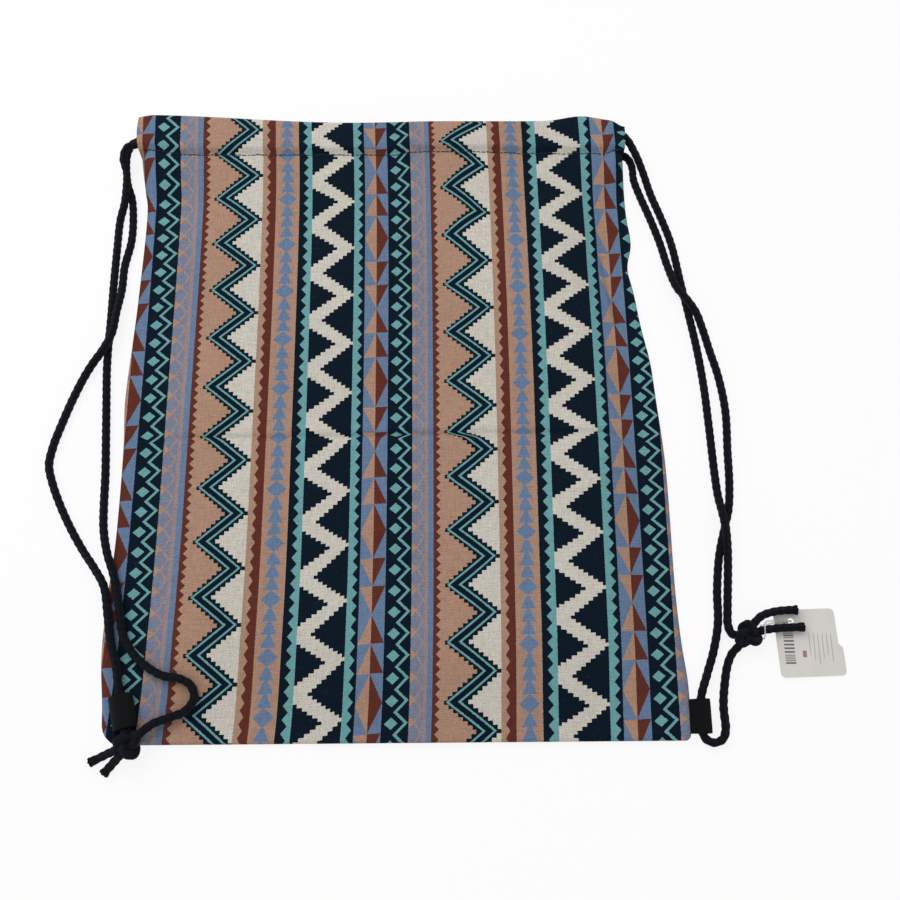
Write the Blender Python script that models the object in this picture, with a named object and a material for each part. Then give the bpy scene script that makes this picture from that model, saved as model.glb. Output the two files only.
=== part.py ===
"""Drawstring backpack of printed canvas, lying on its back panel as it was laid down.

Metres, +Z up, +Y towards the mouth, the back panel on Z = 0. One canvas sheet is folded at the
bottom, sewn up both sides and turned over at the top of each panel into a casing. Each of the
two cords runs through both casings, goes down its side, through a webbing tab at the bottom
corner, and is tied into a loop.
"""
from math import cos, pi, radians, sin, sqrt

import bmesh
import bpy
import numpy as np
from mathutils import Matrix, Vector

MM = 0.001

# Bag: canvas sheet, casings and side seams
BAG_WIDTH = 345.5 * MM
BAG_LENGTH = 420 * MM
CANVAS = 0.7 * MM
CASING_DEPTH = 27 * MM
CHANNEL_CLEAR = 5.8 * MM
MOUTH_CLEAR = 4.3 * MM
HEM_RUN = 5 * MM
HEM_GAP = 0.4 * MM
STITCH_DROP = 3.6 * MM
POCKET = 15 * MM
SEAM_ALLOWANCE = 10 * MM
SEAM_HEIGHT = 4.4 * MM
PUFF_HEIGHT = 12.85 * MM
PUFF_RUN_LEFT = 50 * MM
PUFF_RUN_RIGHT = 36 * MM
PUFF_RUN_END = 65 * MM
LIFT_RUN = 36 * MM
CREASE_DEPTH = 0.8 * MM
CREASE_WIDTH = 6 * MM
CREASE_FROM_BOTTOM = 188.5 * MM
LEFT_CORNER_RADIUS = 12 * MM
RIGHT_CORNER_RADIUS = 5 * MM

# How far each side edge strays outward from a straight one: share of the length, distance
LEFT_SWAY = [(0, 0.5), (0.051, 1.5), (0.123, 3.8), (0.205, 3.0), (0.287, 1.0), (0.441, 1.2), (0.513, 2.8),
             (0.595, 1.5), (0.677, 0), (0.852, -1.0), (0.877, 2.2), (0.928, 7.0), (0.969, 11.5), (1, 12.0)]
RIGHT_SWAY = [(0, 3.5), (0.082, 3.5), (0.133, 1.5), (0.205, 0), (0.41, -0.5), (0.513, -3.5), (0.575, -5.5),
              (0.636, -10.0), (0.698, -13.5), (0.741, -16.5), (0.785, -13.2), (0.846, -15.3), (1, -15.0)]

# Webbing tabs
TAB_WIDTH = 20 * MM
TAB_WEB = 1.1 * MM
TAB_EYE = 6.0 * MM
TAB_TAIL = 8 * MM
RIGHT_TAB_OUT = 12 * MM
RIGHT_TAB_FROM_BOTTOM = 14 * MM
LEFT_TAB_OUT = 15 * MM
LEFT_TAB_FROM_BOTTOM = 17 * MM
LEFT_TAB_FROM_EDGE = 6.2 * MM
LEFT_TAB_TURN = 13
LEFT_TAIL_DEPTH = 2.8 * MM

# Cords, knots and tag
CORD_DIAMETER = 5 * MM
CORD_SIDES = 3
CORD_POINTS = 80
KNOT_SIZE = 16 * MM
TAG_WIDTH = 38 * MM
TAG_LENGTH = 41 * MM
TAG_STEP = 2.5 * MM
TAG_CARD = 0.6 * MM
TAG_CORNER = 3 * MM
TAG_HOLE = 4 * MM
LOOP_DIAMETER = 1.0 * MM
STRAIGHT_WEIGHT = 0.35
BEND_WEIGHT = 6 * MM

CLEARANCE = 0.3 * MM

# Printed stripes: the mean colour and width in millimetres of each across one repeat
PRINT_START = -68.9 * MM
NAVY = (0.010, 0.016, 0.028)
TEAL = (0.090, 0.200, 0.210)
BLUE = (0.130, 0.190, 0.290)
CREAM = (0.400, 0.350, 0.310)
PEACH = (0.430, 0.240, 0.170)
MAROON = (0.150, 0.050, 0.035)
STRIPES = [(6.0, NAVY), (2.9, TEAL), (10.5, CREAM), (9.0, NAVY), (10.1, CREAM), (2.9, TEAL), (4.6, NAVY),
           (8.0, PEACH), (8.0, MAROON), (7.0, TEAL), (9.5, NAVY), (12.0, BLUE), (2.7, BLUE),
           (4.5, MAROON), (6.0, PEACH), (14.0, NAVY), (14.6, CREAM), (4.5, PEACH), (4.6, MAROON),
           (5.0, PEACH), (5.6, BLUE), (5.0, PEACH)]

# Worked out from the sizes above: heights are those of the sheet's middle
TOP_Y = BAG_LENGTH / 2
BOTTOM_Y = -BAG_LENGTH / 2
STITCH_Y = TOP_Y - CASING_DEPTH
BACK_Z = CANVAS / 2
BACK_INNER_Z = BACK_Z + CANVAS + CHANNEL_CLEAR
FRONT_INNER_Z = BACK_INNER_Z + CANVAS + MOUTH_CLEAR
FRONT_Z = FRONT_INNER_Z + CANVAS + CHANNEL_CLEAR
SEAM_Z = SEAM_HEIGHT - CANVAS / 2
PUFF_Z = PUFF_HEIGHT - CANVAS / 2
STITCH_Z = FRONT_Z - STITCH_DROP
TOP_FOLD = (FRONT_Z - FRONT_INNER_Z) / 2
BOTTOM_FOLD = (SEAM_Z - BACK_Z) / 2
TOP_FOLD_Y = TOP_Y - CANVAS / 2 - TOP_FOLD
BOTTOM_FOLD_Y = BOTTOM_Y + CANVAS / 2 + BOTTOM_FOLD
CREASE_Y = BOTTOM_Y + CREASE_FROM_BOTTOM
LEFT_REACH = LEFT_SWAY[-1][1] * MM
RIGHT_REACH = RIGHT_SWAY[0][1] * MM + RIGHT_TAB_OUT
CENTRE_X = (LEFT_REACH - RIGHT_REACH) / 2
TAB_HEIGHT = TAB_EYE + 2 * TAB_WEB

# Routes of the cords' centre lines in millimetres, from the knot round to the knot
RIGHT_ROUTE = [
    (203.2, -147.7, 5.2), (201.5, -142.1, 3.2), (202.2, -132.5, 2.6), (204.0, -114.5, 2.6),
    (204.6, -102.5, 4.6), (204.5, -93.5, 7.0), (204.2, -82.5, 8.1), (203.2, -71.5, 6.6),
    (202.2, -60.5, 3.8), (201.6, -46.5, 2.6), (200.6, -14.5, 2.6), (199.5, 13.5, 2.6),
    (197.2, 39.5, 2.6), (193.6, 65.5, 2.6), (190.2, 87.5, 2.6), (185.5, 119.5, 2.6),
    (179.9, 139.5, 2.6), (173.9, 157.8, 2.8), (168.5, 175.1, 6.2), (163.5, 185.5, 10.8),
    (156.5, 195.8, 14.6), (147.0, 201.2, 15.1), (135.0, 202.5, 15.1), (-20.0, 202.5, 15.1),
    (-160.0, 202.5, 15.1), (-171.5, 202.5, 15.1), (-177.9, 200.7, 13.4), (-180.5, 196.2, 9.35),
    (-177.9, 191.8, 5.3), (-171.5, 190.0, 3.6), (-160.0, 190.0, 3.6), (0.0, 190.0, 3.6),
    (145.0, 190.0, 3.6), (154.0, 189.5, 3.5), (159.8, 185.9, 3.2), (162.3, 179.6, 2.8),
    (162.8, 169.8, 2.6), (166.0, 157.8, 2.6), (172.1, 139.5, 2.6), (177.7, 120.5, 2.6), (181.6, 102.5, 3.2),
    (186.0, 84.5, 6.8), (191.5, 75.5, 8.0), (197.5, 66.0, 6.8), (201.8, 55.5, 3.2),
    (205.5, 39.5, 2.6), (209.6, 21.5, 2.6), (212.2, -2.5, 2.6), (211.2, -30.5, 2.6),
    (210.4, -52.5, 2.6), (208.5, -68.5, 2.6), (204.4, -82.5, 2.6), (200.0, -98.5, 2.6),
    (196.8, -120.5, 2.6), (195.6, -140.5, 2.6), (191.5, -157.5, 2.6), (186.3, -171.5, 3.0),
    (181.4, -185.0, 4.1), (180.4, -196.5, 4.1), (180.4, -204.1, 4.1), (182.5, -209.2, 3.7),
    (187.6, -211.3, 3.0), (192.7, -209.2, 2.6), (194.8, -204.1, 2.6), (194.7, -190.5, 2.6),
    (196.3, -178.5, 2.6), (199.4, -165.5, 2.8), (202.6, -158.9, 3.8), (206.4, -155.1, 5.0)]
LEFT_ROUTE = [
    (-149.0, -203.8, 11.0), (-142.0, -198.1, 9.6), (-131.6, -194.4, 9.3), (-123.4, -190.7, 9.8),
    (-119.0, -183.6, 10.6), (-121.4, -176.5, 11.4), (-128.6, -172.5, 11.4), (-138.5, -170.7, 10.8),
    (-149.0, -164.8, 9.8), (-158.6, -155.9, 9.0), (-165.0, -144.5, 8.2), (-168.4, -128.5, 8.0),
    (-173.0, -110.5, 7.8), (-178.6, -95.5, 7.4), (-183.0, -79.5, 4.2), (-184.6, -64.5, 2.6),
    (-185.4, -44.5, 2.6), (-187.0, -22.5, 2.6), (-189.0, 3.5, 2.6), (-190.8, 27.5, 2.6),
    (-191.3, 43.5, 2.6), (-191.3, 63.5, 2.6), (-191.6, 85.5, 2.6), (-191.6, 115.5, 2.6),
    (-191.2, 137.5, 3.0), (-188.6, 148.5, 5.8), (-187.6, 159.3, 8.0), (-188.4, 172.0, 8.2),
    (-190.6, 181.1, 11.2), (-187.6, 187.9, 14.2), (-180.0, 190.0, 15.1), (-170.0, 190.0, 15.1),
    (0.0, 190.0, 15.1), (130.0, 190.0, 15.1), (141.5, 190.0, 15.1), (147.9, 191.8, 13.4),
    (150.5, 196.2, 9.35), (147.9, 200.7, 5.3), (141.5, 202.5, 3.6), (130.0, 202.5, 3.6),
    (0.0, 202.5, 3.6), (-170.0, 202.5, 3.6), (-180.0, 201.4, 3.6), (-187.4, 198.0, 3.4),
    (-190.6, 190.9, 2.9), (-190.6, 179.6, 2.6), (-188.2, 165.3, 2.6), (-184.8, 155.5, 2.6),
    (-182.6, 139.5, 2.6), (-182.4, 121.5, 2.6), (-185.4, 102.5, 2.6), (-185.6, 85.5, 3.4),
    (-186.8, 67.5, 6.8), (-188.2, 51.5, 8.0), (-193.0, 39.5, 8.0), (-198.4, 32.5, 5.8),
    (-204.2, 24.1, 2.9), (-210.6, 8.0, 2.6), (-215.8, -8.4, 2.6), (-220.2, -24.7, 2.6),
    (-221.6, -37.5, 2.6), (-218.2, -49.5, 2.6), (-211.7, -64.3, 2.6), (-203.3, -79.9, 2.6),
    (-194.3, -94.0, 2.8), (-186.0, -105.0, 5.2), (-178.4, -117.0, 7.6), (-174.6, -134.5, 7.8),
    (-171.4, -150.5, 8.2), (-166.6, -164.5, 9.4), (-163.7, -179.9, 9.25), (-161.2, -191.1, 9.2),
    (-159.1, -199.7, 9.2), (-158.5, -202.1, 9.3)]

LEFT_KNOT = Vector((-155.0, -210.0, 11.9)) * MM
RIGHT_KNOT = Vector((212.0, -148.8, 7.6)) * MM
LEFT_ENDS = [
    [(-155, -210.0, 11.9), (-162, -212.5, 9.2), (-170, -215.5, 4.8), (-179, -219.5, 2.7)],
    [(-155, -210.0, 11.9), (-160, -215.5, 8.6), (-165.5, -220.5, 4.2), (-170.5, -226.0, 2.7)]]
RIGHT_ENDS = [
    [(212, -148.8, 7.6), (217, -141.0, 7.6), (222, -136.9, 6.6), (229, -134.5, 5.6),
     (237, -133.4, 5.2), (244.2, -133.3, 5.1)],
    [(212, -148.8, 7.6), (221, -145.9, 6.2), (230, -144.5, 5.4), (239, -143.9, 5.1), (247.5, -143.7, 5.0)]]
TAG_LOOP = [
    (222.0, -142.1, 0.7), (230.0, -140.5, 0.7), (236.5, -139.9, 0.7), (239.7, -139.7, 0.8),
    (240.7, -139.7, 2.0), (239.8, -139.7, 3.2), (236.0, -139.7, 4.0), (230.0, -139.9, 5.0),
    (224.6, -140.5, 6.8), (222.6, -142.3, 8.6), (222.0, -145.7, 9.8), (222.0, -149.1, 8.6),
    (222.0, -150.7, 5.4), (222.0, -149.3, 2.0), (222.0, -145.9, 0.8)]
TAG_CORNER_PLACE = Vector((231.5, -173.9, 2.1)) * MM
TAG_TURN = 2
TAG_TILT = 2.2


def clear_scene():
    for old in list(bpy.data.objects):
        bpy.data.objects.remove(old, do_unlink=True)


def material(name, colour, roughness, metallic=0.0, alpha=1.0):
    made = bpy.data.materials.new(name)
    made.use_nodes = True
    shader = made.node_tree.nodes["Principled BSDF"]
    shader.inputs["Base Color"].default_value = (*colour, 1)
    shader.inputs["Roughness"].default_value = roughness
    shader.inputs["Metallic"].default_value = metallic
    shader.inputs["Alpha"].default_value = alpha
    return made


def striped_canvas():
    """Canvas whose colour steps through the stripes along X, over and over."""
    made = material("printed_canvas", BLUE, 0.9)
    nodes, links = made.node_tree.nodes, made.node_tree.links
    place = nodes.new("ShaderNodeTexCoord")
    split = nodes.new("ShaderNodeSeparateXYZ")
    links.new(place.outputs["Object"], split.inputs[0])
    source = split.outputs["X"]
    width = sum(w for w, _ in STRIPES)
    for operation, value in (("SUBTRACT", PRINT_START), ("DIVIDE", width * MM), ("FLOORED_MODULO", 1)):
        step = nodes.new("ShaderNodeMath")
        step.operation = operation
        step.inputs[1].default_value = value
        links.new(source, step.inputs[0])
        source = step.outputs[0]
    ramp = nodes.new("ShaderNodeValToRGB")
    ramp.color_ramp.interpolation = "CONSTANT"
    start = 0
    for i, (w, colour) in enumerate(STRIPES):
        stops = ramp.color_ramp.elements
        stop = stops[0] if i == 0 else stops.new(start / width) if i > 1 else stops[1]
        stop.position = start / width
        stop.color = (*colour, 1)
        start += w
    links.new(source, ramp.inputs[0])
    links.new(ramp.outputs[0], nodes["Principled BSDF"].inputs["Base Color"])
    return made


def add_object(name, data, finish=None):
    made = bpy.data.objects.new(name, data)
    bpy.context.scene.collection.objects.link(made)
    if finish:
        data.materials.append(finish)
    return made


def hide_tool(made):
    made.hide_render = True
    made.display_type = "WIRE"
    return made


def boolean(target, tool, operation):
    step = target.modifiers.new(operation.lower(), "BOOLEAN")
    step.operation = operation
    step.solver = "EXACT"
    step.object = hide_tool(tool)


def smooth_curve(points, per_span):
    """Centripetal Catmull-Rom curve through the points, per_span steps to each span."""
    p = np.array(points, float)
    p = np.vstack([2 * p[0] - p[1], p, 2 * p[-1] - p[-2]])
    knots = np.concatenate([[0], np.cumsum(np.linalg.norm(np.diff(p, axis=0), axis=1) ** 0.5)])
    out = []
    for i in range(1, len(p) - 2):
        t0, t1, t2, t3 = knots[i - 1:i + 3]
        t = np.linspace(t1, t2, per_span, endpoint=False)[:, None]
        a1 = (t1 - t) / (t1 - t0) * p[i - 1] + (t - t0) / (t1 - t0) * p[i]
        a2 = (t2 - t) / (t2 - t1) * p[i] + (t - t1) / (t2 - t1) * p[i + 1]
        a3 = (t3 - t) / (t3 - t2) * p[i + 1] + (t - t2) / (t3 - t2) * p[i + 2]
        b1 = (t2 - t) / (t2 - t0) * a1 + (t - t0) / (t2 - t0) * a2
        b2 = (t3 - t) / (t3 - t1) * a2 + (t - t1) / (t3 - t1) * a3
        out.append((t2 - t) / (t2 - t1) * b1 + (t - t1) / (t2 - t1) * b2)
    return np.vstack(out + [p[-2][None]])


def spread(curve, count):
    """count points of the curve, closer together where it bends."""
    steps = np.diff(curve, axis=0)
    lengths = np.linalg.norm(steps, axis=1)
    ways = steps / lengths[:, None]
    turns = np.concatenate([[0], np.arccos(np.clip((ways[1:] * ways[:-1]).sum(1), -1, 1))])
    weight = np.concatenate([[0], np.cumsum(lengths * STRAIGHT_WEIGHT + turns * BEND_WEIGHT)])
    wanted = np.linspace(0, weight[-1], count)
    return np.stack([np.interp(wanted, weight, curve[:, k]) for k in range(3)], axis=1)


def ease(share):
    """0 to 1 with level ends."""
    share = np.clip(share, 0, 1)
    return share * share * (3 - 2 * share)


def sway(table, y):
    """Outward stray of a side edge at y."""
    curve = smooth_curve(table, 12)
    return np.interp(y / BAG_LENGTH + 0.5, curve[:, 0], curve[:, 1]) * MM


def corner_inset(y, radius):
    """How far a rounded bottom corner takes the side edge in at y."""
    rise = np.clip(radius - (y - BOTTOM_Y), 0, radius)
    return radius - np.sqrt(radius ** 2 - rise ** 2)


def left_edge(y):
    return CENTRE_X - BAG_WIDTH / 2 - sway(LEFT_SWAY, y) + corner_inset(y, LEFT_CORNER_RADIUS)


def right_edge(y):
    return CENTRE_X + BAG_WIDTH / 2 + sway(RIGHT_SWAY, y) - corner_inset(y, RIGHT_CORNER_RADIUS)


def front_height(x, y):
    """Height of the front panel's middle between the bottom fold and the stitch line."""
    puff = (ease((x - left_edge(y) - SEAM_ALLOWANCE) / PUFF_RUN_LEFT)
            * ease((right_edge(y) - x - SEAM_ALLOWANCE) / PUFF_RUN_RIGHT)
            * ease((y - BOTTOM_FOLD_Y) / PUFF_RUN_END))
    crease = CREASE_DEPTH * np.exp(-((y - CREASE_Y) / CREASE_WIDTH) ** 2)
    body = SEAM_Z + puff * (PUFF_Z - SEAM_Z - crease)
    lift = ease((y - STITCH_Y + LIFT_RUN) / LIFT_RUN)
    return body + (STITCH_Z - body) * lift


def body_rows():
    """Places along Y from the stitch line down to the bottom fold, closer at crease and corners."""
    lift = np.linspace(STITCH_Y, STITCH_Y - LIFT_RUN, 7)
    plain = np.linspace(STITCH_Y - LIFT_RUN, BOTTOM_FOLD_Y + PUFF_RUN_END, 13)[1:]
    crease = CREASE_Y + CREASE_WIDTH * np.array([-1.4, -0.7, 0, 0.7, 1.4])
    plain = plain[np.abs(plain - CREASE_Y) > CREASE_WIDTH * 2]
    corner = BOTTOM_FOLD_Y + PUFF_RUN_END * np.array([0.72, 0.46, 0.25, 0.13, 0.06, 0.02, 0])
    return np.sort(np.concatenate([lift, plain, crease, corner]))[::-1]


def fold(centre_y, centre_z, radius, start, end, steps):
    """Half turn of the sheet, as (y, z, angle) from start to end degrees, 90 pointing to +Y."""
    return [(centre_y + radius * sin(radians(a)), centre_z - radius * cos(radians(a)), a)
            for a in np.linspace(start, end, steps + 1)]


def casing_walls(inner_z, outer_z, hem_z):
    """Rows (y, z, recess) of one casing from its hem over the top fold to the outer wall."""
    rows = [(STITCH_Y + s * HEM_RUN, hem_z + (inner_z - hem_z) * float(ease(s)), POCKET)
            for s in (0.15, 0.4, 0.7, 1)]
    middle = (inner_z + outer_z) / 2
    turn = 1 if outer_z > inner_z else -1
    for y, z, angle in fold(TOP_FOLD_Y, middle, TOP_FOLD, 0, 180, 8):
        rows.append((y, middle + (z - middle) * turn, POCKET * max(0.0, cos(radians(angle)))))
    rows.append((STITCH_Y + HEM_RUN, outer_z, 0))
    return rows


def sheet_rows():
    """The whole folded sheet from hem to hem: (y, height or None for the front panel, recess)."""
    front_hem = STITCH_Z - CANVAS - HEM_GAP
    rows = casing_walls(FRONT_INNER_Z, FRONT_Z, front_hem)
    rows += [(STITCH_Y + s * HEM_RUN, STITCH_Z + (FRONT_Z - STITCH_Z) * float(ease(s)), 0)
             for s in (0.75, 0.5, 0.25)]
    rows += [(y, None, 0) for y in body_rows()]
    rows += [(y, z, 0) for y, z, _ in
             fold(BOTTOM_FOLD_Y, (BACK_Z + SEAM_Z) / 2, -BOTTOM_FOLD, 0, 180, 6)[1:]]
    rows += [(y, BACK_Z, 0) for y in body_rows()[::-1][1::2]]
    back_hem = BACK_Z + CANVAS + HEM_GAP
    return rows + casing_walls(BACK_INNER_Z, BACK_Z, back_hem)[::-1]


def stations(y, recess):
    """Places across the sheet at y, closer together near the seams."""
    left, right = left_edge(y) + recess, right_edge(y) - recess
    slope = np.array([0, 0.3, 0.6, 0.85, 1])
    near_left = np.concatenate([[0], SEAM_ALLOWANCE + PUFF_RUN_LEFT * slope])
    near_right = np.concatenate([[0], SEAM_ALLOWANCE + PUFF_RUN_RIGHT * slope])
    middle = np.linspace(left + near_left[-1], right - near_right[-1], 7)[1:-1]
    return np.concatenate([left + near_left, middle, right - near_right[::-1]])


def grid_mesh(name, grid):
    """Open mesh over a grid of points, rows by columns."""
    rows, columns = grid.shape[:2]
    first = np.arange(rows * columns).reshape(rows, columns)
    faces = np.stack([first[:-1, :-1], first[:-1, 1:], first[1:, 1:], first[1:, :-1]], axis=-1)
    mesh = bpy.data.meshes.new(name)
    mesh.from_pydata(grid.reshape(-1, 3).tolist(), [], faces.reshape(-1, 4).tolist())
    return mesh


def lofted(name, rings):
    """Closed mesh through rings of points, with a flat cap at each end."""
    work = bmesh.new()
    loops = [[work.verts.new(p) for p in ring] for ring in rings]
    count = len(loops[0])
    for one, two in zip(loops, loops[1:]):
        for i in range(count):
            j = (i + 1) % count
            work.faces.new((one[i], one[j], two[j], two[i]))
    work.faces.new(loops[0][::-1])
    work.faces.new(loops[-1])
    bmesh.ops.recalc_face_normals(work, faces=work.faces)
    mesh = bpy.data.meshes.new(name)
    work.to_mesh(mesh)
    work.free()
    return mesh


def prism(name, outline, thickness, matrix):
    """Outline in the local XZ plane, extruded along local Y about its middle."""
    rings = [[matrix @ Vector((x, side * thickness / 2, z)) for x, z in outline] for side in (-1, 1)]
    return lofted(name, rings)


def seam_bar(name, edge, inward):
    """The sewn side seam: allowances that fill the space between both panels along one edge."""
    rings = []
    for y in body_rows():
        outer = float(edge(y)) + inward * CANVAS / 4
        inner = float(edge(y)) + inward * SEAM_ALLOWANCE
        rings.append([(outer, y, BACK_Z), (inner, y, BACK_Z),
                      (inner, y, float(front_height(inner, y))),
                      (outer, y, float(front_height(outer, y)))])
    return add_object(name, lofted(name, rings))


def bag_body(finish):
    grid = []
    for y, height, recess in sheet_rows():
        across = stations(y, recess)
        z = front_height(across, y) if height is None else np.full(len(across), height)
        grid.append(np.stack([across, np.full(len(across), y), z], axis=1))
    body = add_object("canvas_body", grid_mesh("canvas_body", np.array(grid)), finish)
    wall = body.modifiers.new("canvas", "SOLIDIFY")
    wall.thickness = CANVAS
    wall.offset = 0
    wall.use_even_offset = True
    boolean(body, seam_bar("left_seam_tool", left_edge, 1), "UNION")
    boolean(body, seam_bar("right_seam_tool", right_edge, -1), "UNION")
    return body


def arc(centre_x, centre_z, radius, start, end, steps):
    return [(centre_x + radius * cos(radians(a)), centre_z + radius * sin(radians(a)))
            for a in np.linspace(start, end, steps + 1)]


def eye_outline(start, length):
    """Stadium of the tab's eye, from start to the loop's outer end less one web."""
    radius = TAB_EYE / 2
    middle = TAB_HEIGHT / 2
    near, far = start + radius, length - TAB_WEB - radius
    return arc(far, middle, radius, -90, 90, 8) + arc(near, middle, radius, 90, 270, 8)


def right_tab(finish, body):
    """Webbing folded into a hairpin, its tail sewn into the right seam, its eye flat outside."""
    y = BOTTOM_Y + RIGHT_TAB_FROM_BOTTOM
    place = Matrix.Translation((float(right_edge(y)), y, 0))
    outer, web = TAB_HEIGHT / 2, TAB_WEB
    outline = [(-TAB_TAIL, web), (0, web), (2 * web, 0)]
    outline += arc(RIGHT_TAB_OUT - outer, outer, outer, -90, 90, 10)
    outline += [(4 * web, TAB_HEIGHT), (0, 3 * web), (-TAB_TAIL, 3 * web)]
    tab = add_object("right_tab", prism("right_tab", outline, TAB_WIDTH, place), finish)
    eye = eye_outline(2.4 * web, RIGHT_TAB_OUT)
    boolean(tab, add_object("right_eye_tool", prism("right_eye_tool", eye, 2 * TAB_WIDTH, place)),
            "DIFFERENCE")
    gap = CLEARANCE
    slot = [(-TAB_TAIL - gap, web - gap), (TAB_TAIL, web - gap), (TAB_TAIL, 3 * web + gap),
            (-TAB_TAIL - gap, 3 * web + gap)]
    cut = prism("right_slot_tool", slot, TAB_WIDTH + 2 * gap, place)
    boolean(body, add_object("right_slot_tool", cut), "DIFFERENCE")


def left_tab(finish, body):
    """The same webbing, whose seam rolled onto the front, so that it lies on the front panel."""
    y = BOTTOM_Y + LEFT_TAB_FROM_BOTTOM
    x = float(left_edge(y)) + LEFT_TAB_FROM_EDGE
    bed = front_height(x + LEFT_TAB_OUT, y + TAB_WIDTH / 2) + CANVAS / 2
    lift = float(bed) + CLEARANCE
    place = Matrix.Translation((x, y, lift)) @ Matrix.Rotation(radians(LEFT_TAB_TURN), 4, "Z")
    outer, web = TAB_HEIGHT / 2, TAB_WEB
    depth = lift - SEAM_HEIGHT + LEFT_TAIL_DEPTH
    outline = [(0, -depth), (2 * web, -depth), (2 * web, 0)]
    outline += arc(LEFT_TAB_OUT - outer, outer, outer, -90, 90, 10)
    outline += [(4 * web, TAB_HEIGHT), (0, 4 * web)]
    tab = add_object("left_tab", prism("left_tab", outline, TAB_WIDTH, place), finish)
    eye = eye_outline(3 * web, LEFT_TAB_OUT)
    boolean(tab, add_object("left_eye_tool", prism("left_eye_tool", eye, 2 * TAB_WIDTH, place)),
            "DIFFERENCE")
    gap = CLEARANCE
    slot = [(-gap, -depth - gap), (2 * web + gap, -depth - gap), (2 * web + gap, TAB_HEIGHT),
            (-gap, TAB_HEIGHT)]
    cut = prism("left_slot_tool", slot, TAB_WIDTH + 2 * gap, place)
    boolean(body, add_object("left_slot_tool", cut), "DIFFERENCE")


def cord_tube(name, points, diameter, finish, closed=False):
    """Curve object with a round bevel and filled caps through the given points."""
    data = bpy.data.curves.new(name, "CURVE")
    data.dimensions = "3D"
    data.bevel_depth = diameter / 2
    data.bevel_resolution = CORD_SIDES
    data.use_fill_caps = True
    line = data.splines.new("POLY")
    line.points.add(len(points) - 1)
    for place, point in zip(line.points, points):
        place.co = (*point, 1)
    line.use_cyclic_u = closed
    return add_object(name, data, finish)


def tube_mesh(name, points, diameter, sides=8):
    """Closed tube along a path, its rings carried without twist."""
    path = [Vector(p) for p in points]
    ways = [(b - a).normalized() for a, b in zip(path, path[1:])]
    ways = [ways[0]] + [(a + b).normalized() for a, b in zip(ways, ways[1:])] + [ways[-1]]
    normal = ways[0].orthogonal().normalized()
    rings = []
    for point, way in zip(path, ways):
        normal = (normal - way * normal.dot(way)).normalized()
        across = way.cross(normal)
        rings.append([point + (normal * cos(a) + across * sin(a)) * diameter / 2
                      for a in np.linspace(0, 2 * pi, sides, endpoint=False)])
    return lofted(name, rings)


def ring_mesh(name, centre, normal, radius, diameter, steps=20, sides=8):
    """A turn of cord round the knot: a torus about the given normal."""
    turn = Vector((0, 0, 1)).rotation_difference(Vector(normal)).to_matrix()
    around = np.linspace(0, 2 * pi, steps, endpoint=False)
    work = bmesh.new()
    loops = []
    for a in around:
        out = Vector((cos(a), sin(a), 0))
        loops.append([work.verts.new(centre + turn @ (out * (radius + cos(b) * diameter / 2)
                                                      + Vector((0, 0, sin(b) * diameter / 2))))
                      for b in np.linspace(0, 2 * pi, sides, endpoint=False)])
    for i in range(steps):
        one, two = loops[i], loops[(i + 1) % steps]
        for j in range(sides):
            k = (j + 1) % sides
            work.faces.new((one[j], one[k], two[k], two[j]))
    bmesh.ops.recalc_face_normals(work, faces=work.faces)
    mesh = bpy.data.meshes.new(name)
    work.to_mesh(mesh)
    work.free()
    return mesh


def knot(name, centre, free_ends, finish):
    """Overhand knot of both strands: a core, two crossing turns and the two free ends."""
    core_radius = KNOT_SIZE / 2 - CORD_DIAMETER * 0.35
    work = bmesh.new()
    bmesh.ops.create_uvsphere(work, u_segments=16, v_segments=10, radius=core_radius,
                              matrix=Matrix.Translation(centre))
    mesh = bpy.data.meshes.new(name)
    work.to_mesh(mesh)
    work.free()
    mesh.shade_smooth()
    made = add_object(name, mesh, finish)
    turn_radius = KNOT_SIZE / 2 - CORD_DIAMETER / 2
    for i, normal in enumerate([(0.75, 0.5, 0.45), (-0.5, 0.75, 0.45)]):
        tool = ring_mesh(f"{name}_turn_tool_{i}", centre, normal, turn_radius, CORD_DIAMETER)
        boolean(made, add_object(f"{name}_turn_tool_{i}", tool), "UNION")
    for i, end in enumerate(free_ends):
        path = smooth_curve(np.array(end) * MM, 3)
        tool = tube_mesh(f"{name}_end_tool_{i}", path, CORD_DIAMETER)
        boolean(made, add_object(f"{name}_end_tool_{i}", tool), "UNION")


def tag_outline():
    """Card with round corners whose lower part steps out on the right, from its lower left corner."""
    r, w, h = TAG_CORNER, TAG_WIDTH, TAG_LENGTH
    step_z = h * 0.47
    points = arc(r, r, r, 180, 270, 4) + arc(w + TAG_STEP - r, r, r, 270, 360, 4)
    points += [(w + TAG_STEP, step_z - TAG_STEP), (w, step_z)]
    return points + arc(w - r, h - r, r, 0, 90, 4) + arc(r, h - r, r, 90, 180, 4)


def hang_tag(finish):
    """Plain card that leans on the loop threaded through its hole."""
    flat = Matrix.Rotation(radians(-90), 4, "X")
    place = (Matrix.Translation(TAG_CORNER_PLACE) @ Matrix.Rotation(radians(TAG_TURN), 4, "Z")
             @ Matrix.Rotation(radians(TAG_TILT), 4, "Y"))
    card = prism("hang_tag", tag_outline(), TAG_CARD, place @ flat)
    made = add_object("hang_tag", card, finish)
    hole = Vector(TAG_LOOP[4]) * MM
    ring = arc(hole.x, hole.y, TAG_HOLE / 2, 0, 360, 16)[:-1]
    rings = [[(x, y, hole.z + side * TAG_HOLE) for x, y in ring] for side in (-1, 1)]
    boolean(made, add_object("tag_hole_tool", lofted("tag_hole_tool", rings)), "DIFFERENCE")


def cord(name, route, finish):
    curve = smooth_curve(np.array(route) * MM, 24)
    cord_tube(name, spread(curve, CORD_POINTS), CORD_DIAMETER, finish)


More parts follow.
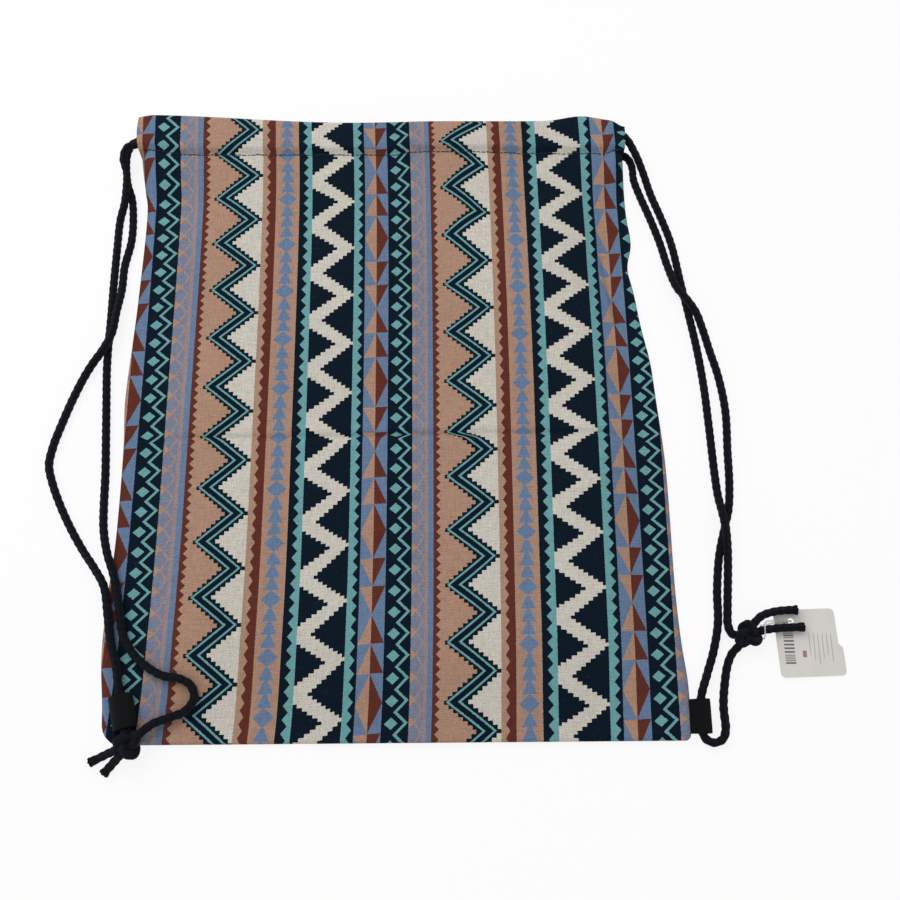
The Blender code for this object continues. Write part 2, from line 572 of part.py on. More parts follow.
def main():
    clear_scene()
    canvas = striped_canvas()
    webbing = material("black_webbing", (0.004, 0.006, 0.008), 0.8)
    cord_yarn = material("navy_cord", (0.008, 0.012, 0.018), 0.75)
    card = material("white_card", (0.62, 0.58, 0.54), 0.6)
    film = material("clear_plastic", (0.85, 0.85, 0.85), 0.15, alpha=0.4)
    body = bag_body(canvas)
    left_tab(webbing, body)
    right_tab(webbing, body)
    cord("left_cord", LEFT_ROUTE, cord_yarn)
    cord("right_cord", RIGHT_ROUTE, cord_yarn)
    knot("left_knot", LEFT_KNOT, LEFT_ENDS, cord_yarn)
    knot("right_knot", RIGHT_KNOT, RIGHT_ENDS, cord_yarn)
    hang_tag(card)
    loop = smooth_curve(np.array(TAG_LOOP + TAG_LOOP[:1]) * MM, 2)[:-1]
    cord_tube("tag_loop", loop, LOOP_DIAMETER, film, closed=True)


main()
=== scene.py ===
"""Looks of the drawstring backpack: printed canvas, braided cords, webbing tabs and a plain card tag.

Metres, +Z up, +Y towards the mouth. The bag lies on its back panel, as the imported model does.
"""
from math import pi, radians

import bpy
import numpy as np
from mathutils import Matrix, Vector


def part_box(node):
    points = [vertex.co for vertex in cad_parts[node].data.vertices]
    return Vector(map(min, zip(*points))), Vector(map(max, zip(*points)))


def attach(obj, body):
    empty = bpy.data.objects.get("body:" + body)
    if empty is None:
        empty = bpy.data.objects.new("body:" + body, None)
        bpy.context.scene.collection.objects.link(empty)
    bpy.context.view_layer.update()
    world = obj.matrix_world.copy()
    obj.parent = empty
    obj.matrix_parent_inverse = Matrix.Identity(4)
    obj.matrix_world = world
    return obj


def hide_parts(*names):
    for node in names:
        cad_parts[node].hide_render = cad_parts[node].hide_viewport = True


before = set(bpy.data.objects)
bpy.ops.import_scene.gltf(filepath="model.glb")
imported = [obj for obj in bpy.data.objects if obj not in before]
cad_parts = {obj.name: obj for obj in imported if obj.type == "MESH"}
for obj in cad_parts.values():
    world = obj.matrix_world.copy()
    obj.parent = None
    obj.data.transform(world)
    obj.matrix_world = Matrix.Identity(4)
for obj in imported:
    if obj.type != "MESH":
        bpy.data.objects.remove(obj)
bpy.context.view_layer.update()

MM = 0.001
BODY = "root"

# Bag
BAG_WIDTH = 345.5
BAG_LENGTH = 420.0
CANVAS = 0.7
CASING_DEPTH = 27.0
CHANNEL_CLEAR = 5.8
MOUTH_CLEAR = 4.3
HEM_RUN = 5.0
HEM_GAP = 0.4
STITCH_DROP = 3.6
POCKET = 15.0
SEAM_ALLOWANCE = 10.0
SEAM_Z = 4.05
PUFF_Z = 12.5
PUFF_RUN_LEFT = 50.0
PUFF_RUN_RIGHT = 36.0
PUFF_RUN_END = 65.0
LIFT_RUN = 36.0
CREASE_Y = -21.5
LEFT_CORNER_RADIUS = 12.0
RIGHT_CORNER_RADIUS = 5.0
EDGE_ROUND = 4.0
CENTRE_X = -1.75
TOP_Y = BAG_LENGTH / 2
BOTTOM_Y = -BAG_LENGTH / 2
STITCH_Y = TOP_Y - CASING_DEPTH
BACK_Z = CANVAS / 2
EDGE_Z = BACK_Z + CANVAS
BACK_INNER_Z = BACK_Z + CANVAS + CHANNEL_CLEAR
FRONT_INNER_Z = BACK_INNER_Z + CANVAS + MOUTH_CLEAR
FRONT_Z = FRONT_INNER_Z + CANVAS + CHANNEL_CLEAR
STITCH_Z = FRONT_Z - STITCH_DROP
TOP_FOLD = (FRONT_Z - FRONT_INNER_Z) / 2
BOTTOM_FOLD = (SEAM_Z - BACK_Z) / 2
TOP_FOLD_Y = TOP_Y - CANVAS / 2 - TOP_FOLD
BOTTOM_FOLD_Y = BOTTOM_Y + CANVAS / 2 + BOTTOM_FOLD
LEFT_SWAY = [(0, -1.0), (0.051, 0.3), (0.123, 3.4), (0.205, 3.0), (0.287, 1.0), (0.441, 1.2), (0.513, 2.8),
             (0.595, 1.5), (0.677, 0), (0.852, -1.0), (0.877, 1.0), (0.928, 4.6), (0.969, 6.4), (1, 5.8)]
RIGHT_SWAY = [(0, 3.5), (0.082, 3.5), (0.133, 1.5), (0.205, 0), (0.41, -0.5), (0.513, -3.5), (0.575, -5.5),
              (0.636, -10.0), (0.698, -13.5), (0.741, -16.5), (0.785, -13.2), (0.846, -15.3), (1, -15.0)]

# Print: one repeat across, the pitch of its zigzags, and how far it climbs to the right
REPEAT = 155.2
DRAWN = 156.8
PITCH = 34.46
CLIMB = 0.0573
PRINT_X = -67.8
PRINT_TIP = 6.2
FAR_START = 45.3
FAR_LIFT = 7.5
FAR_DROP = 6.3

# Where one stripe ends and the next begins, across one repeat
TEAL_END = 8.9
CREAM_END = 38.5
BLUE_START = 46.0
BLUE_MIDDLE = 54.0
BLUE_END = 62.0
DIAMOND_END = 78.5
SPECKLE_END = 93.2
ZIGZAG_END = 132.3
COLUMN_START = 141.2
COLUMN_CENTRE = 149.0
COLUMN_END = 156.9

# How the print was pulled askew at the mouth, the bottom and the sides
TOP_PULL = 2.0
BOTTOM_PULL = 3.9
LEFT_STRETCH = 0.953
RIGHT_STRETCH = 0.955

# Webbing tabs, cords, tag
TAB_WIDTH = 20.0
TAB_WEB = 1.1
TAB_HEIGHT = 8.2
CORD_DIAMETER = 5.0
CORD_SIDES = 24
CORD_STEP = 0.6
BRAID_RELIEF = 0.3
BRAID_LENGTH = 9.6
LOOP_DIAMETER = 1.0

RIGHT_ROUTE = [
    (203.2, -147.7, 5.2), (201.5, -142.1, 3.2), (202.2, -132.5, 2.6), (204.0, -114.5, 2.6),
    (204.6, -102.5, 4.6), (204.5, -93.5, 7.0), (204.2, -82.5, 8.1), (203.2, -71.5, 6.6),
    (202.2, -60.5, 3.8), (201.6, -46.5, 2.6), (200.6, -14.5, 2.6), (199.5, 13.5, 2.6),
    (197.2, 39.5, 2.6), (193.6, 65.5, 2.6), (190.2, 87.5, 2.6), (185.5, 119.5, 2.6),
    (179.9, 139.5, 2.6), (173.9, 157.8, 2.8), (168.5, 175.1, 6.2), (163.5, 185.5, 10.8),
    (156.5, 195.8, 14.6), (147.0, 201.2, 15.1), (135.0, 202.5, 15.1), (-20.0, 202.5, 15.1),
    (-160.0, 202.5, 15.1), (-171.5, 202.5, 15.1), (-177.9, 200.7, 13.4), (-180.5, 196.2, 9.35),
    (-177.9, 191.8, 5.3), (-171.5, 190.0, 3.6), (-160.0, 190.0, 3.6), (0.0, 190.0, 3.6),
    (145.0, 190.0, 3.6), (154.0, 189.5, 3.5), (159.8, 185.9, 3.2), (162.3, 179.6, 2.8),
    (162.8, 169.8, 2.6), (166.0, 157.8, 2.6), (172.1, 139.5, 2.6), (177.7, 120.5, 2.6), (181.6, 102.5, 3.2),
    (186.0, 84.5, 6.8), (191.5, 75.5, 8.0), (197.5, 66.0, 6.8), (201.8, 55.5, 3.2),
    (205.5, 39.5, 2.6), (209.6, 21.5, 2.6), (212.2, -2.5, 2.6), (211.2, -30.5, 2.6),
    (210.4, -52.5, 2.6), (208.5, -68.5, 2.6), (204.4, -82.5, 2.6), (200.0, -98.5, 2.6),
    (196.8, -120.5, 2.6), (195.6, -140.5, 2.6), (191.5, -157.5, 2.6), (186.3, -171.5, 3.0),
    (181.4, -185.0, 4.1), (180.4, -196.5, 4.1), (180.4, -204.1, 4.1), (182.5, -209.2, 3.7),
    (187.6, -211.3, 3.0), (192.7, -209.2, 2.6), (194.8, -204.1, 2.6), (194.7, -190.5, 2.6),
    (196.3, -178.5, 2.6), (199.4, -165.5, 2.8), (202.6, -158.9, 3.8), (206.4, -155.1, 5.0)]
LEFT_ROUTE = [
    (-149.0, -203.8, 11.0), (-142.0, -198.1, 9.6), (-131.6, -194.4, 9.3), (-123.4, -190.7, 9.8),
    (-119.0, -183.6, 10.6), (-121.4, -176.5, 11.4), (-128.6, -172.5, 11.4), (-138.5, -170.7, 10.8),
    (-149.0, -164.8, 9.8), (-158.6, -155.9, 9.0), (-165.0, -144.5, 8.2), (-168.4, -128.5, 8.0),
    (-173.0, -110.5, 7.8), (-178.6, -95.5, 7.4), (-183.0, -79.5, 4.2), (-184.6, -64.5, 2.6),
    (-185.4, -44.5, 2.6), (-187.0, -22.5, 2.6), (-189.0, 3.5, 2.6), (-190.8, 27.5, 2.6),
    (-191.3, 43.5, 2.6), (-191.3, 63.5, 2.6), (-191.6, 85.5, 2.6), (-191.6, 115.5, 2.6),
    (-191.2, 137.5, 3.0), (-188.6, 148.5, 5.8), (-187.6, 159.3, 8.0), (-188.4, 172.0, 8.2),
    (-190.6, 181.1, 11.2), (-187.6, 187.9, 14.2), (-180.0, 190.0, 15.1), (-170.0, 190.0, 15.1),
    (0.0, 190.0, 15.1), (130.0, 190.0, 15.1), (141.5, 190.0, 15.1), (147.9, 191.8, 13.4),
    (150.5, 196.2, 9.35), (147.9, 200.7, 5.3), (141.5, 202.5, 3.6), (130.0, 202.5, 3.6),
    (0.0, 202.5, 3.6), (-170.0, 202.5, 3.6), (-180.0, 201.4, 3.6), (-187.4, 198.0, 3.4),
    (-190.6, 190.9, 2.9), (-190.6, 179.6, 2.6), (-188.2, 165.3, 2.6), (-184.8, 155.5, 2.6),
    (-182.6, 139.5, 2.6), (-182.4, 121.5, 2.6), (-185.4, 102.5, 2.6), (-185.6, 85.5, 3.4),
    (-186.8, 67.5, 6.8), (-188.2, 51.5, 8.0), (-193.0, 39.5, 8.0), (-198.4, 32.5, 5.8),
    (-204.2, 24.1, 2.9), (-210.6, 8.0, 2.6), (-215.8, -8.4, 2.6), (-220.2, -24.7, 2.6),
    (-221.6, -37.5, 2.6), (-218.2, -49.5, 2.6), (-211.7, -64.3, 2.6), (-203.3, -79.9, 2.6),
    (-194.3, -94.0, 2.8), (-186.0, -105.0, 5.2), (-178.4, -117.0, 7.6), (-174.6, -134.5, 7.8),
    (-171.4, -150.5, 8.2), (-166.6, -164.5, 9.4), (-163.7, -179.9, 9.25), (-161.2, -191.1, 9.2),
    (-159.1, -199.7, 9.2), (-158.5, -202.1, 9.3)]
LEFT_KNOT = (-155.0, -210.0, 11.9)
RIGHT_KNOT = (212.0, -148.8, 7.6)
LEFT_ENDS = [
    [(-155, -210.0, 11.9), (-162, -212.5, 9.2), (-170, -215.5, 4.8), (-179, -219.5, 2.7)],
    [(-155, -210.0, 11.9), (-160, -215.5, 8.6), (-165.5, -220.5, 4.2), (-170.5, -226.0, 2.7)]]
RIGHT_ENDS = [
    [(212, -148.8, 7.6), (217, -141.0, 7.6), (222, -136.9, 6.6), (229, -134.5, 5.6),
     (237, -133.4, 5.2), (244.2, -133.3, 5.1)],
    [(212, -148.8, 7.6), (221, -145.9, 6.2), (230, -144.5, 5.4), (239, -143.9, 5.1), (247.5, -143.7, 5.0)]]
TAG_LOOP = [
    (222.0, -142.1, 0.7), (230.0, -140.5, 0.7), (236.5, -139.9, 0.7), (239.7, -139.7, 0.8),
    (240.7, -139.7, 2.0), (239.8, -139.7, 3.2), (236.0, -139.7, 4.0), (230.0, -139.9, 5.0),
    (224.6, -140.5, 6.8), (222.6, -142.3, 8.6), (222.0, -145.7, 9.8), (222.0, -149.1, 8.6),
    (222.0, -150.7, 5.4), (222.0, -149.3, 2.0), (222.0, -145.9, 0.8)]


def camera():
    """Camera above the bag's lower half, looking down and a little up the bag, as the photo does."""
    data = bpy.data.cameras.new("camera")
    data.lens = 44
    data.sensor_width = 36
    made = bpy.data.objects.new("camera", data)
    made.location = (0.0215, -0.2485, 0.672)
    made.rotation_euler = (radians(18.2), radians(-0.8), radians(-0.52))
    bpy.context.scene.collection.objects.link(made)
    bpy.context.scene.camera = made


def rgb(red, green, blue):
    """Linear colour of a colour written as 0 to 255."""
    share = np.array([red, green, blue]) / 255
    linear = np.where(share <= 0.04045, share / 12.92, ((share + 0.055) / 1.055) ** 2.4)
    return (*[float(c) for c in linear], 1.0)


NAVY = rgb(5, 23, 37)
CREAM = rgb(208, 203, 192)
PEACH = rgb(175, 139, 118)
MAROON = rgb(97, 48, 38)
TEAL = rgb(110, 164, 167)
BLUE = rgb(104, 127, 158)


def ease(share):
    """0 to 1 with level ends: three times the square less twice the cube."""
    share = np.clip(share, 0, 1)
    return share * share * (3 - 2 * share)


def smooth_path(points, step):
    """Curve through the points, each span a blend of straight lines weighted by the root of the
    distances between the points, then taken at even steps of length."""
    p = np.array(points, float)
    p = np.vstack([2 * p[0] - p[1], p, 2 * p[-1] - p[-2]])
    knots = np.concatenate([[0], np.cumsum(np.linalg.norm(np.diff(p, axis=0), axis=1) ** 0.5)])
    out = []
    for i in range(1, len(p) - 2):
        t0, t1, t2, t3 = knots[i - 1:i + 3]
        t = np.linspace(t1, t2, 40, endpoint=False)[:, None]
        a1 = (t1 - t) / (t1 - t0) * p[i - 1] + (t - t0) / (t1 - t0) * p[i]
        a2 = (t2 - t) / (t2 - t1) * p[i] + (t - t1) / (t2 - t1) * p[i + 1]
        a3 = (t3 - t) / (t3 - t2) * p[i + 1] + (t - t2) / (t3 - t2) * p[i + 2]
        b1 = (t2 - t) / (t2 - t0) * a1 + (t - t0) / (t2 - t0) * a2
        b2 = (t3 - t) / (t3 - t1) * a2 + (t - t1) / (t3 - t1) * a3
        out.append((t2 - t) / (t2 - t1) * b1 + (t - t1) / (t2 - t1) * b2)
    curve = np.vstack(out + [p[-2][None]])
    gone = np.concatenate([[0], np.cumsum(np.linalg.norm(np.diff(curve, axis=0), axis=1))])
    wanted = np.linspace(0, gone[-1], int(round(gone[-1] / step)) + 1)
    return np.stack([np.interp(wanted, gone, curve[:, k]) for k in range(curve.shape[1])], axis=1)


def path_length(path):
    """Length of a path: the sum of its steps."""
    return float(np.linalg.norm(np.diff(path, axis=0), axis=1).sum())


def unit(vectors):
    """Each vector over its own length."""
    return vectors / np.linalg.norm(vectors, axis=-1, keepdims=True)


def around(path, sides, radius):
    """Rings about a path: each point goes out from it by the radius at that length and angle,
    across by its cosine and up by its sine. Returns the grid and its two coordinates."""
    way = unit(np.gradient(path, axis=0))
    across = unit(np.cross(way, [0, 0, 1]))
    up = np.cross(across, way)
    gone = np.concatenate([[0], np.cumsum(np.linalg.norm(np.diff(path, axis=0), axis=1))])
    angle = np.linspace(0, 2 * pi, sides, endpoint=False)
    out = radius(gone[:, None], angle[None, :])[..., None]
    turn = (across[:, None] * np.cos(angle)[None, :, None] + up[:, None] * np.sin(angle)[None, :, None])
    grid = path[:, None] + out * turn
    u = np.broadcast_to(np.linspace(0, 1, sides + 1)[None], (len(path), sides + 1))
    v = np.broadcast_to(gone[:, None] * MM, u.shape)
    return grid, np.stack([u, v], axis=-1)


def shell(grid, uv, closed=False, capped=False):
    """Vertices, faces and face coordinates of a grid, millimetres to metres, faces outwards.
    closed joins its last column to the first, and capped shuts the first and last rings."""
    rows, columns = grid.shape[:2]
    index = np.arange(rows * columns).reshape(rows, columns)
    wide = np.hstack([index, index[:, :1]]) if closed else index
    corners = [(slice(None, -1), slice(None, -1)), (slice(1, None), slice(None, -1)),
               (slice(1, None), slice(1, None)), (slice(None, -1), slice(1, None))]
    faces = np.stack([wide[c] for c in corners], axis=-1).reshape(-1, 4).tolist()
    places = np.stack([uv[c] for c in corners], axis=2).reshape(-1, 2)
    if capped:
        faces += [index[0].tolist(), index[-1][::-1].tolist()]
        places = np.vstack([places, uv[0, :columns], uv[-1, :columns][::-1]])
    return grid.reshape(-1, 3) * MM, faces, places


def piece(name, shells, *finishes):
    """One object from one or more shells, riding on the bag."""
    first, vertices, faces, places = 0, [], [], []
    for points, polygons, uv in shells:
        vertices.append(points)
        faces += [[first + k for k in polygon] for polygon in polygons]
        places.append(uv)
        first += len(points)
    mesh = bpy.data.meshes.new(name)
    mesh.from_pydata(np.vstack(vertices).tolist(), [], faces)
    mesh.uv_layers.new(name="cloth").data.foreach_set("uv", np.vstack(places).ravel())
    mesh.shade_smooth()
    for finish in finishes:
        mesh.materials.append(finish)
    made = bpy.data.objects.new(name, mesh)
    bpy.context.scene.collection.objects.link(made)
    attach(made, BODY)
    return made


class Nodes:
    """A material's nodes, with short calls for the sums that a pattern needs."""

    def __init__(self, name, roughness):
        self.material = bpy.data.materials.new(name)
        self.material.use_nodes = True
        self.tree = self.material.node_tree
        self.shader = self.tree.nodes["Principled BSDF"]
        self.shader.inputs["Roughness"].default_value = roughness

    def new(self, kind, **settings):
        node = self.tree.nodes.new("ShaderNode" + kind)
        for key, value in settings.items():
            setattr(node, key, value)
        return node

    def put(self, value, socket):
        if isinstance(value, bpy.types.NodeSocket):
            self.tree.links.new(value, socket)
        else:
            socket.default_value = value

    def math(self, operation, a, b=0.0):
        node = self.new("Math", operation=operation)
        self.put(a, node.inputs[0])
        self.put(b, node.inputs[1])
        return node.outputs[0]

    def add(self, a, b):
        return self.math("ADD", a, b)

    def sub(self, a, b):
        return self.math("SUBTRACT", a, b)

    def mul(self, a, b):
        return self.math("MULTIPLY", a, b)

    def over(self, a, b):
        return self.math("GREATER_THAN", a, b)

    def under(self, a, b):
        return self.math("LESS_THAN", a, b)

    def both(self, a, b):
        return self.math("MULTIPLY", a, b)

    def between(self, x, low, high):
        return self.both(self.over(x, low), self.under(x, high))

    def off(self, x, centre):
        return self.math("ABSOLUTE", self.sub(x, centre))

    def part(self, v, phase, period):
        """Share of the way through the period, 0 to 1, counted from the phase upwards."""
        return self.math("FRACT", self.math("DIVIDE", self.sub(v, phase), period))

    def tip(self, v, phase, period):
        """1 at the phase and every period from it, 0 half way between, straight in between."""
        share = self.part(v, phase, period)
        return self.math("ABSOLUTE", self.sub(self.mul(share, 2.0), 1.0))

    def steps(self, v, size):
        """v taken in steps of one size, each level at its middle."""
        whole = self.math("FLOOR", self.math("DIVIDE", v, size))
        return self.mul(self.add(whole, 0.5), size)

    def mix(self, share, a, b):
        node = self.new("Mix", data_type="RGBA")
        self.put(share, node.inputs[0])
        self.put(a, node.inputs[6])
        self.put(b, node.inputs[7])
        return node.outputs[2]

    def noise(self, vector, scale, detail=2.0):
        node = self.new("TexNoise")
        self.put(vector, node.inputs["Vector"])
        node.inputs["Scale"].default_value = scale
        node.inputs["Detail"].default_value = detail
        return node.outputs[0]

    def stretched(self, vector, scale):
        node = self.new("Mapping")
        self.put(vector, node.inputs["Vector"])
        node.inputs["Scale"].default_value = scale
        return node.outputs[0]

    def bump(self, height, strength, distance):
        node = self.new("Bump")
        node.inputs["Strength"].default_value = strength
        node.inputs["Distance"].default_value = distance
        self.put(height, node.inputs["Height"])
        self.put(node.outputs[0], self.shader.inputs["Normal"])

    def colour(self, value):
        self.put(value, self.shader.inputs["Base Color"])


def uv_millimetres(n):
    """The piece's own UV map, and its two parts in millimetres."""
    uv = n.new("UVMap", uv_map="cloth").outputs[0]
    split = n.new("SeparateXYZ")
    n.put(uv, split.inputs[0])
    return uv, n.mul(split.outputs[0], 1000.0), n.mul(split.outputs[1], 1000.0)


def stripe_print(n, across, along):
    """The printed stripes of one repeat, painted one over the other from its left edge."""
    s = n.mul(n.part(across, 0.0, REPEAT), DRAWN)
    far = n.mul(n.over(across, REPEAT + FAR_START), FAR_LIFT)
    v = n.sub(n.sub(along, PRINT_TIP), far)
    stair = n.steps(v, PITCH / 16)
    tooth = 3 * PITCH / 13
    paint = NAVY

    def lay(mask, colour):
        nonlocal paint
        paint = n.mix(mask, paint, colour)

    # narrow teal strip with teeth to the left, then a stepped cream zigzag, then teeth to the right
    lay(n.between(s, n.sub(6.4, n.mul(n.tip(v, -3.25, tooth), 3.3)), TEAL_END), TEAL)
    zig = n.tip(stair, 1.3, PITCH)
    x = n.sub(s, TEAL_END)
    cream = n.between(x, n.add(-7.4, n.mul(zig, 25.4)), n.add(8.0, n.mul(zig, 22.3)))
    lay(n.both(cream, n.between(s, TEAL_END, CREAM_END)), CREAM)
    lay(n.between(s, CREAM_END, n.add(41.4, n.mul(n.tip(v, -6.2, tooth), 3.2))), TEAL)
    # blue strip with peach and maroon half triangles
    lay(n.between(s, BLUE_START, BLUE_END), BLUE)
    triangle_v = n.add(v, n.mul(n.over(across, REPEAT), FAR_DROP))
    unit_share = n.part(triangle_v, 59.0, PITCH / 2)
    grows = n.over(n.part(triangle_v, 59.0, 3 * PITCH), 0.5)
    half = n.mul(n.math("ABSOLUTE", n.sub(grows, unit_share)), 8.0)
    inside = n.under(n.off(s, BLUE_MIDDLE), half)
    lay(n.both(inside, n.between(s, BLUE_START, BLUE_MIDDLE)), PEACH)
    lay(n.both(inside, n.between(s, BLUE_MIDDLE, BLUE_END)), MAROON)
    # navy strip with teal diamonds and a teal zigzag, its tips level with the diamonds
    pip = 3 * PITCH / 8
    drop = n.off(n.mul(n.part(v, -4.9 + pip / 2, pip), pip), pip / 2)
    diamond = n.add(n.mul(n.off(s, 67.7), 1 / 4.0), n.mul(drop, 1 / 3.5))
    lay(n.both(n.under(diamond, 1.0), n.between(s, BLUE_END, DIAMOND_END)), TEAL)
    wave = n.under(n.off(s, n.add(70.0, n.mul(n.tip(v, -4.9, pip), 6.8))), 1.15)
    lay(n.both(wave, n.between(s, BLUE_END, DIAMOND_END)), TEAL)
    # blue strip, speckled with peach: small triangles, a loose zigzag and a broken line
    climb = n.mul(across, 1 / REPEAT)
    drifted = n.sub(v, n.sub(4.84, n.mul(climb, 5.4)))
    lay(n.between(s, DIAMOND_END, SPECKLE_END), BLUE)
    lay(n.between(s, DIAMOND_END, n.sub(82.3, n.mul(drop, 1.05))), PEACH)
    loose = n.under(n.off(s, n.sub(86.6, n.mul(n.tip(v, -4.9, pip), 4.6))), 0.8)
    rising = n.math("SINE", n.mul(n.add(s, v), 5.2))
    falling = n.math("SINE", n.mul(n.sub(s, v), 5.2))
    dots = n.over(n.mul(rising, falling), 0.1)
    speckle = n.math("MAXIMUM", n.mul(loose, 0.7), n.mul(dots, 0.55))
    lay(n.both(speckle, n.between(s, 79.0, 87.2)), PEACH)
    lay(n.mul(n.between(s, 87.2, 89.7), n.add(0.45, n.mul(dots, 0.4))), PEACH)
    # peach with maroon teeth, then a navy zigzag with two teal lines, then cream
    lay(n.between(s, SPECKLE_END, ZIGZAG_END), PEACH)
    lay(n.between(s, SPECKLE_END, n.add(95.1, n.mul(n.tip(drifted, -5.75, PITCH / 6), 2.8))), MAROON)
    fold = n.tip(n.steps(drifted, PITCH / 14), -13.3, PITCH)
    right = n.add(113.3, n.mul(fold, 19.4))
    lay(n.between(s, right, ZIGZAG_END), CREAM)
    left = n.add(100.1, n.mul(fold, 18.2))
    lay(n.between(s, left, n.math("MINIMUM", right, ZIGZAG_END)), NAVY)
    line = n.add(102.4, n.mul(n.tip(drifted, -13.3, PITCH), 20.0))
    twice = n.math("MINIMUM", n.off(s, line), n.off(s, n.add(line, 6.4)))
    lay(n.both(n.under(twice, 0.88), n.between(s, SPECKLE_END, ZIGZAG_END)), TEAL)
    # peach with maroon teeth to the left, then the blue column on peach
    lay(n.between(s, ZIGZAG_END, COLUMN_END), PEACH)
    lay(n.between(s, n.sub(137.4, n.mul(n.tip(drifted, -1.8, tooth), 2.4)), COLUMN_START), MAROON)
    below = n.mul(n.sub(1.0, n.part(drifted, 1.5, PITCH)), PITCH)
    gap = n.math("MINIMUM", below, n.sub(PITCH, below))
    centre = n.off(s, COLUMN_CENTRE)
    column = n.over(s, COLUMN_START)
    lozenge = n.under(n.add(n.mul(centre, 1 / 6.2), n.mul(gap, 1 / 5.6)), 1.0)
    lay(n.both(lozenge, column), BLUE)
    flare = n.add(0.9, n.mul(n.part(below, 5.5, 7.82), 3.6))
    lay(n.both(n.under(centre, flare), n.both(n.over(gap, 5.6), column)), BLUE)
    lay(n.mul(n.both(dots, n.both(n.over(s, 143.2), n.under(centre, 5.2))), 0.3), BLUE)
    return paint


def canvas(name, faded):
    """Printed plain-weave cotton. faded gives the wrong side, where little of the print comes through."""
    n = Nodes(name, 0.92)
    uv, across, along = uv_millimetres(n)
    thread = 0.95
    wobble = n.mul(n.sub(n.noise(uv, 900.0), 0.5), 0.7)
    paint = stripe_print(n, n.add(across, wobble), n.add(along, wobble))
    u_share = n.part(across, 0.0, thread)
    v_share = n.part(along, 0.0, thread)
    column = n.math("FLOOR", n.math("DIVIDE", across, thread))
    row = n.math("FLOOR", n.math("DIVIDE", along, thread))
    odd = n.math("FLOORED_MODULO", n.add(column, row), 2.0)
    warp = n.math("SINE", n.mul(u_share, pi))
    weft = n.math("SINE", n.mul(v_share, pi))
    weave = n.add(n.mul(odd, weft), n.mul(n.sub(1.0, odd), warp))
    slub = n.noise(n.stretched(uv, (130.0, 820.0, 1.0)), 1.0, 3.0)
    cross_slub = n.noise(n.stretched(uv, (820.0, 150.0, 1.0)), 1.0, 3.0)
    wear = n.noise(uv, 16.0, 4.0)
    grain = n.noise(uv, 850.0, 2.0)
    level = n.add(n.add(0.16, n.mul(weave, 0.24)), n.mul(n.add(slub, cross_slub), 0.42))
    level = n.add(level, n.mul(grain, 0.48))
    level = n.add(level, n.mul(n.sub(wear, 0.5), 0.18))
    shade = n.new("Mix", data_type="RGBA", blend_type="MULTIPLY")
    shade.inputs[0].default_value = 1.0
    n.put(n.mix(0.72, paint, rgb(176, 165, 152)) if faded else paint, shade.inputs[6])
    tone = n.new("CombineColor")
    for k in range(3):
        n.put(level, tone.inputs[k])
    n.put(tone.outputs[0], shade.inputs[7])
    # worn thread tops let a little undyed cotton through the dark print
    fleck = n.mul(n.over(n.mul(slub, cross_slub), 0.36), 0.02)
    n.colour(n.mix(fleck, shade.outputs[2], rgb(150, 146, 142)))
    n.bump(n.add(weave, n.mul(grain, 1.2)), 0.6, 0.0003)
    n.shader.inputs["Sheen Weight"].default_value = 0.02
    n.shader.inputs["Sheen Roughness"].default_value = 0.5
    n.shader.inputs["Specular IOR Level"].default_value = 0.1
    return n.material


def braid(name):
    """Dark navy cotton braid: painted light on the strands' backs and painted shade in the grooves, fine
    yarns across.
    """
    n = Nodes(name, 0.8)
    uv, turn, along = uv_millimetres(n)
    angle = n.mul(turn, 0.001 * 2 * pi * 3)
    run = n.mul(along, 2 * pi / BRAID_LENGTH)
    # painted light on the braid's crests and painted shade in its grooves, from the same waves as its relief
    crest_light_groove_shade = n.mul(n.math("SINE", n.add(angle, run)), n.math("SINE", n.sub(angle, run)))
    yarn = n.math("SINE", n.add(n.mul(angle, 5.0), n.mul(along, 9.0)))
    fuzz = n.noise(n.stretched(uv, (9.0, 1100.0, 1.0)), 1.0, 4.0)
    share = n.add(n.add(0.42, n.mul(crest_light_groove_shade, 0.30)), n.mul(n.sub(fuzz, 0.5), 0.9))
    share = n.math("MINIMUM", n.math("MAXIMUM", n.add(share, n.mul(yarn, 0.12)), 0.0), 1.0)
    # dark to light: painted groove shade and crest light, mixed with the yarns' and fuzz's own tone
    n.colour(n.mix(share, rgb(2, 3, 6), rgb(18, 23, 37)))
    n.bump(n.add(n.mul(yarn, 0.6), fuzz), 0.7, 0.0004)
    n.shader.inputs["Sheen Weight"].default_value = 0.03
    n.shader.inputs["Sheen Roughness"].default_value = 0.4
    n.shader.inputs["Specular IOR Level"].default_value = 0.15
    return n.material


def webbing(name):
    """Black woven tape: chevron ribs along its length and a dusting of lint."""
    n = Nodes(name, 0.78)
    uv, across, along = uv_millimetres(n)
    slant = n.off(n.part(across, 0.0, 4.0), 0.5)
    rib = n.math("SINE", n.add(n.mul(across, 2 * pi / 1.0), n.mul(slant, 6.0)))
    pick = n.math("SINE", n.add(n.mul(along, 2 * pi / 0.9), n.mul(slant, 9.0)))
    lint = n.noise(uv, 1700.0, 3.0)
    share = n.add(n.mul(n.add(rib, pick), 0.12), n.mul(lint, 0.6))
    n.colour(n.mix(share, rgb(2, 3, 5), rgb(14, 16, 20)))
    n.bump(n.add(rib, n.mul(pick, 0.7)), 0.5, 0.00025)
    n.shader.inputs["Sheen Weight"].default_value = 0.02
    n.shader.inputs["Specular IOR Level"].default_value = 0.15
    return n.material


def thread_finish():
    """Dark sewing thread with a twist."""
    n = Nodes("stitch_thread", 0.6)
    uv, turn, along = uv_millimetres(n)
    twist = n.math("SINE", n.add(n.mul(turn, 0.001 * 2 * pi * 2), n.mul(along, 14.0)))
    n.colour(n.mix(n.add(0.5, n.mul(twist, 0.4)), rgb(7, 10, 18), rgb(24, 29, 40)))
    n.bump(twist, 0.4, 0.0001)
    return n.material


